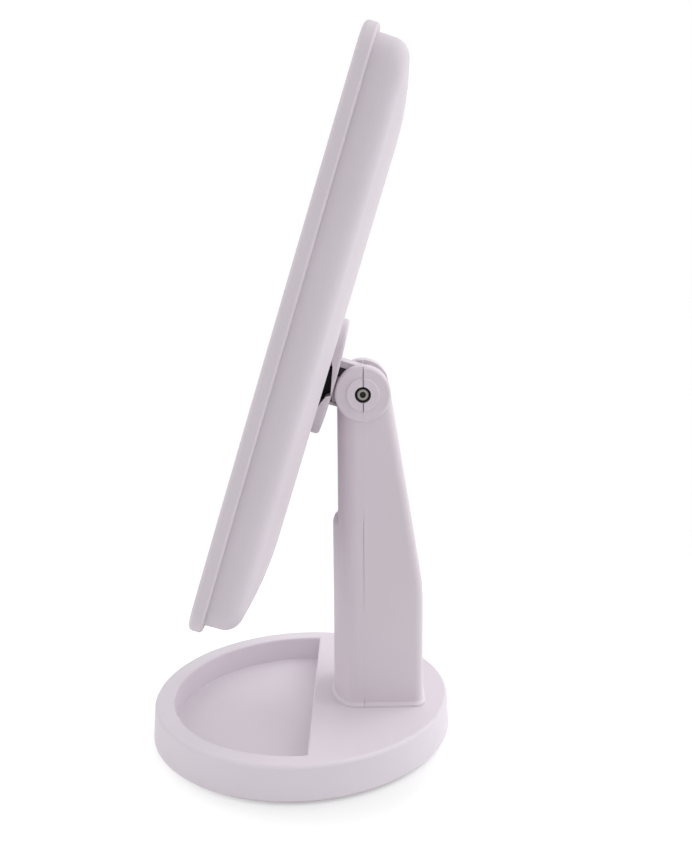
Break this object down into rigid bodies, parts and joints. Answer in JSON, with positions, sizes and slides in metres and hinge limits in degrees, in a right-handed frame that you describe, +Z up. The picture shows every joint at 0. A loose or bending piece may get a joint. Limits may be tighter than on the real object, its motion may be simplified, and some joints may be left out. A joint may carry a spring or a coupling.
{
  "type": "lighted table mirror",
  "caption": "Tilting rectangular table mirror with a lit frosted border, on a battery column that stands at the back of a round base with a D-shaped tray.",
  "frame": {"origin": "on the table under the middle of the round base", "axes": "+Z up, +Y towards the back of the stand, the mirror faces -Y"},
  "size_m": [0.168, 0.1248, 0.2746],
  "materials": {
    "body_plastic": "satin",
    "base_plastic": "satin",
    "cover_plastic": "fine grain",
    "black_plastic": "matt",
    "white_plastic": "satin",
    "frosted_plastic": "frosted, lets light through",
    "silvered_glass": "polished",
    "white_laminate": "solder mask",
    "green_laminate": "solder mask",
    "led_package": "clear over phosphor",
    "bright_steel": "plated",
    "black_steel": "blackened",
    "nylon": "natural",
    "grey_rubber": "matt",
    "cell_jacket": "printed film, left plain"
  },
  "bodies": {
    "stand": {"base_tray": "base_plastic", "base_cover": "cover_plastic", "base_cover_screws": "bright_steel", "base_feet": "grey_rubber", "column_front_shell": "body_plastic", "column_rear_shell": "body_plastic", "column_screws": "bright_steel", "column_foot_screws": "bright_steel", "battery_case": "black_plastic", "battery_cells": "cell_jacket", "battery_leaf_contacts": "bright_steel", "battery_plate_contacts": "bright_steel", "power_board": "green_laminate", "board_screws": "bright_steel", "usb_socket": "bright_steel", "switch_body": "black_plastic", "hinge_pin": "black_steel", "hinge_pin_clips": "black_steel", "hinge_washers": "nylon"},
    "mirror_head": {"front_bezel": "body_plastic", "mirror_glass": "silvered_glass", "light_diffuser": "frosted_plastic", "reflector_frame": "white_plastic", "led_board": "white_laminate", "leds": "led_package", "touch_board": "green_laminate", "rear_shell": "body_plastic", "hinge_pad": "body_plastic", "hinge_knuckle": "body_plastic", "hinge_core": "black_plastic", "hinge_pad_screws": "bright_steel"},
    "battery_door": {"battery_door": "body_plastic"},
    "switch_slider": {"switch_slider": "black_plastic"}
  },
  "joints": [
    {"name": "mirror_tilt", "type": "hinge", "parent": "stand", "child": "mirror_head", "pos_m": [0, 0.0262, 0.1448], "axis": [-1, 0, 0], "range_deg": [-17.1, 72.9]},
    {"name": "battery_door_lift", "type": "slide", "parent": "stand", "child": "battery_door", "axis": [0, 1, 0], "range_m": [0, 0.03]},
    {"name": "power_switch", "type": "slide", "parent": "stand", "child": "switch_slider", "axis": [0, -0.1637, 0.9865], "range_m": [0, 0.003]}
  ]
}
